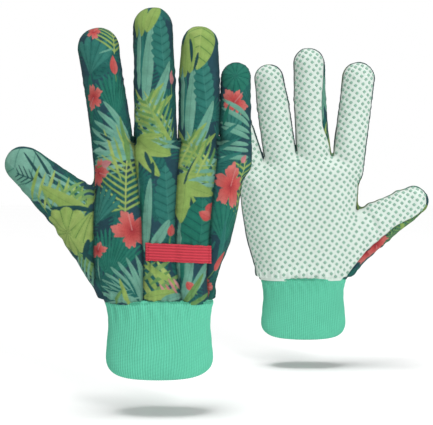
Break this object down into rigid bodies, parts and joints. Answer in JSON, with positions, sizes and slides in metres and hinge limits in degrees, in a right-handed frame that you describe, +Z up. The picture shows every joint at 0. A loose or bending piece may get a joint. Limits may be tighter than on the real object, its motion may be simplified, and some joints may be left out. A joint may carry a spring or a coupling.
{
  "type": "gardening gloves",
  "caption": "Pair of sewn gardening gloves with printed back strips, dotted grip palms, folding fingers, wrist elastic and rib-knit cuffs.",
  "frame": {"origin": "centre of the front glove's cuff opening, on the flat rim that it stands on", "axes": "+Z up along the hand towards the fingertips, +X towards the front glove's little finger, +Y from the front glove's printed back to its palm"},
  "size_m": [0.3085, 0.1868, 0.235],
  "materials": {
    "printed_back": "matte knitted polyester with a leaf and flower print",
    "dotted_palm": "matte pale knit with raised grip dots",
    "rib_knit": "matte fine vertical rib knit",
    "elastic": "matte ribbed elastic tape"
  },
  "bodies": {
    "front_hand": {"front_palm_panel": "dotted_palm", "front_thumb_gusset": "printed_back", "front_index_back_strip": "printed_back", "front_middle_back_strip": "printed_back", "front_ring_back_strip": "printed_back", "front_little_back_strip": "printed_back", "front_knit_cuff": "rib_knit", "front_cuff_seam": "rib_knit", "front_elastic_band": "elastic"},
    "front_thumb_root": {"front_thumb_root_palm_side": "dotted_palm", "front_thumb_root_back": "printed_back"},
    "front_thumb_tip": {"front_thumb_tip_palm_side": "dotted_palm", "front_thumb_tip_back": "printed_back"},
    "front_index_root": {"front_index_root_palm_side": "dotted_palm", "front_index_root_back": "printed_back"},
    "front_index_tip": {"front_index_tip_palm_side": "dotted_palm", "front_index_tip_back": "printed_back"},
    "front_middle_root": {"front_middle_root_palm_side": "dotted_palm", "front_middle_root_back": "printed_back"},
    "front_middle_tip": {"front_middle_tip_palm_side": "dotted_palm", "front_middle_tip_back": "printed_back"},
    "front_ring_root": {"front_ring_root_palm_side": "dotted_palm", "front_ring_root_back": "printed_back"},
    "front_ring_tip": {"front_ring_tip_palm_side": "dotted_palm", "front_ring_tip_back": "printed_back"},
    "front_little_root": {"front_little_root_palm_side": "dotted_palm", "front_little_root_back": "printed_back"},
    "front_little_tip": {"front_little_tip_palm_side": "dotted_palm", "front_little_tip_back": "printed_back"},
    "rear_hand": {"rear_palm_panel": "dotted_palm", "rear_thumb_gusset": "printed_back", "rear_index_back_strip": "printed_back", "rear_middle_back_strip": "printed_back", "rear_ring_back_strip": "printed_back", "rear_little_back_strip": "printed_back", "rear_knit_cuff": "rib_knit", "rear_cuff_seam": "rib_knit", "rear_elastic_band": "elastic"},
    "rear_thumb_root": {"rear_thumb_root_palm_side": "dotted_palm", "rear_thumb_root_back": "printed_back"},
    "rear_thumb_tip": {"rear_thumb_tip_palm_side": "dotted_palm", "rear_thumb_tip_back": "printed_back"},
    "rear_index_root": {"rear_index_root_palm_side": "dotted_palm", "rear_index_root_back": "printed_back"},
    "rear_index_tip": {"rear_index_tip_palm_side": "dotted_palm", "rear_index_tip_back": "printed_back"},
    "rear_middle_root": {"rear_middle_root_palm_side": "dotted_palm", "rear_middle_root_back": "printed_back"},
    "rear_middle_tip": {"rear_middle_tip_palm_side": "dotted_palm", "rear_middle_tip_back": "printed_back"},
    "rear_ring_root": {"rear_ring_root_palm_side": "dotted_palm", "rear_ring_root_back": "printed_back"},
    "rear_ring_tip": {"rear_ring_tip_palm_side": "dotted_palm", "rear_ring_tip_back": "printed_back"},
    "rear_little_root": {"rear_little_root_palm_side": "dotted_palm", "rear_little_root_back": "printed_back"},
    "rear_little_tip": {"rear_little_tip_palm_side": "dotted_palm", "rear_little_tip_back": "printed_back"}
  },
  "joints": [
    {"name": "front_thumb_root_fold", "type": "hinge", "parent": "front_hand", "child": "front_thumb_root", "pos_m": [-0.0592, 0, 0.1097], "axis": [-0.6508, 0, -0.7593], "range_deg": [0, 40]},
    {"name": "front_thumb_middle_fold", "type": "hinge", "parent": "front_thumb_root", "child": "front_thumb_tip", "pos_m": [-0.0752, 0, 0.12341], "axis": [-0.6508, 0, -0.7593], "range_deg": [0, 50]},
    {"name": "front_index_root_fold", "type": "hinge", "parent": "front_hand", "child": "front_index_root", "pos_m": [-0.031, 0, 0.157], "axis": [-0.988, 0, -0.1547], "range_deg": [0, 50]},
    {"name": "front_index_middle_fold", "type": "hinge", "parent": "front_index_root", "child": "front_index_tip", "pos_m": [-0.03563, 0, 0.18654], "axis": [-0.988, 0, -0.1547], "range_deg": [0, 60]},
    {"name": "front_middle_root_fold", "type": "hinge", "parent": "front_hand", "child": "front_middle_root", "pos_m": [-0.0024, 0, 0.157], "axis": [-0.9998, 0, -0.0209], "range_deg": [0, 50]},
    {"name": "front_middle_middle_fold", "type": "hinge", "parent": "front_middle_root", "child": "front_middle_tip", "pos_m": [-0.00315, 0, 0.19287], "axis": [-0.9998, 0, -0.0209], "range_deg": [0, 60]},
    {"name": "front_ring_root_fold", "type": "hinge", "parent": "front_hand", "child": "front_ring_root", "pos_m": [0.0256, 0, 0.156], "axis": [-0.9999, 0, 0.0105], "range_deg": [0, 50]},
    {"name": "front_ring_middle_fold", "type": "hinge", "parent": "front_ring_root", "child": "front_ring_tip", "pos_m": [0.02592, 0, 0.18682], "axis": [-0.9999, 0, 0.0105], "range_deg": [0, 60]},
    {"name": "front_little_root_fold", "type": "hinge", "parent": "front_hand", "child": "front_little_root", "pos_m": [0.0492, 0, 0.156], "axis": [-0.9994, 0, 0.0349], "range_deg": [0, 50]},
    {"name": "front_little_middle_fold", "type": "hinge", "parent": "front_little_root", "child": "front_little_tip", "pos_m": [0.04992, 0, 0.17667], "axis": [-0.9994, 0, 0.0349], "range_deg": [0, 60]},
    {"name": "rear_thumb_root_fold", "type": "hinge", "parent": "rear_hand", "child": "rear_thumb_root", "pos_m": [0.167, 0.15, 0.092], "axis": [0.5, 0, -0.866], "range_deg": [0, 40]},
    {"name": "rear_thumb_middle_fold", "type": "hinge", "parent": "rear_thumb_root", "child": "rear_thumb_tip", "pos_m": [0.18413, 0.15, 0.10189], "axis": [0.5, 0, -0.866], "range_deg": [0, 50]},
    {"name": "rear_index_root_fold", "type": "hinge", "parent": "rear_hand", "child": "rear_index_root", "pos_m": [0.1457, 0.15, 0.156], "axis": [0.9912, 0, -0.1323], "range_deg": [0, 50]},
    {"name": "rear_index_middle_fold", "type": "hinge", "parent": "rear_index_root", "child": "rear_index_tip", "pos_m": [0.14984, 0.15, 0.18701], "axis": [0.9912, 0, -0.1323], "range_deg": [0, 60]},
    {"name": "rear_middle_root_fold", "type": "hinge", "parent": "rear_hand", "child": "rear_middle_root", "pos_m": [0.1154, 0.15, 0.156], "axis": [0.9991, 0, 0.0419], "range_deg": [0, 50]},
    {"name": "rear_middle_middle_fold", "type": "hinge", "parent": "rear_middle_root", "child": "rear_middle_tip", "pos_m": [0.11388, 0.15, 0.19231], "axis": [0.9991, 0, 0.0419], "range_deg": [0, 60]},
    {"name": "rear_ring_root_fold", "type": "hinge", "parent": "rear_hand", "child": "rear_ring_root", "pos_m": [0.0877, 0.15, 0.155], "axis": [0.9903, 0, 0.1392], "range_deg": [0, 50]},
    {"name": "rear_ring_middle_fold", "type": "hinge", "parent": "rear_ring_root", "child": "rear_ring_tip", "pos_m": [0.08338, 0.15, 0.18575], "axis": [0.9903, 0, 0.1392], "range_deg": [0, 60]},
    {"name": "rear_little_root_fold", "type": "hinge", "parent": "rear_hand", "child": "rear_little_root", "pos_m": [0.0639, 0.15, 0.1475], "axis": [0.9563, 0, 0.2924], "range_deg": [0, 50]},
    {"name": "rear_little_middle_fold", "type": "hinge", "parent": "rear_little_root", "child": "rear_little_tip", "pos_m": [0.05669, 0.15, 0.1711], "axis": [0.9563, 0, 0.2924], "range_deg": [0, 60]},
    {"name": "rear_glove_slide", "type": "slide", "parent": "front_hand", "child": "rear_hand", "axis": [1, 0, 0], "range_m": [0, 0.25]}
  ],
  "couplings": [
    {"joint": "front_thumb_middle_fold", "follows": "front_thumb_root_fold", "ratio": 1.25},
    {"joint": "front_index_middle_fold", "follows": "front_index_root_fold", "ratio": 1.2},
    {"joint": "front_middle_middle_fold", "follows": "front_middle_root_fold", "ratio": 1.2},
    {"joint": "front_ring_middle_fold", "follows": "front_ring_root_fold", "ratio": 1.2},
    {"joint": "front_little_middle_fold", "follows": "front_little_root_fold", "ratio": 1.2},
    {"joint": "rear_thumb_middle_fold", "follows": "rear_thumb_root_fold", "ratio": 1.25},
    {"joint": "rear_index_middle_fold", "follows": "rear_index_root_fold", "ratio": 1.2},
    {"joint": "rear_middle_middle_fold", "follows": "rear_middle_root_fold", "ratio": 1.2},
    {"joint": "rear_ring_middle_fold", "follows": "rear_ring_root_fold", "ratio": 1.2},
    {"joint": "rear_little_middle_fold", "follows": "rear_little_root_fold", "ratio": 1.2}
  ]
}
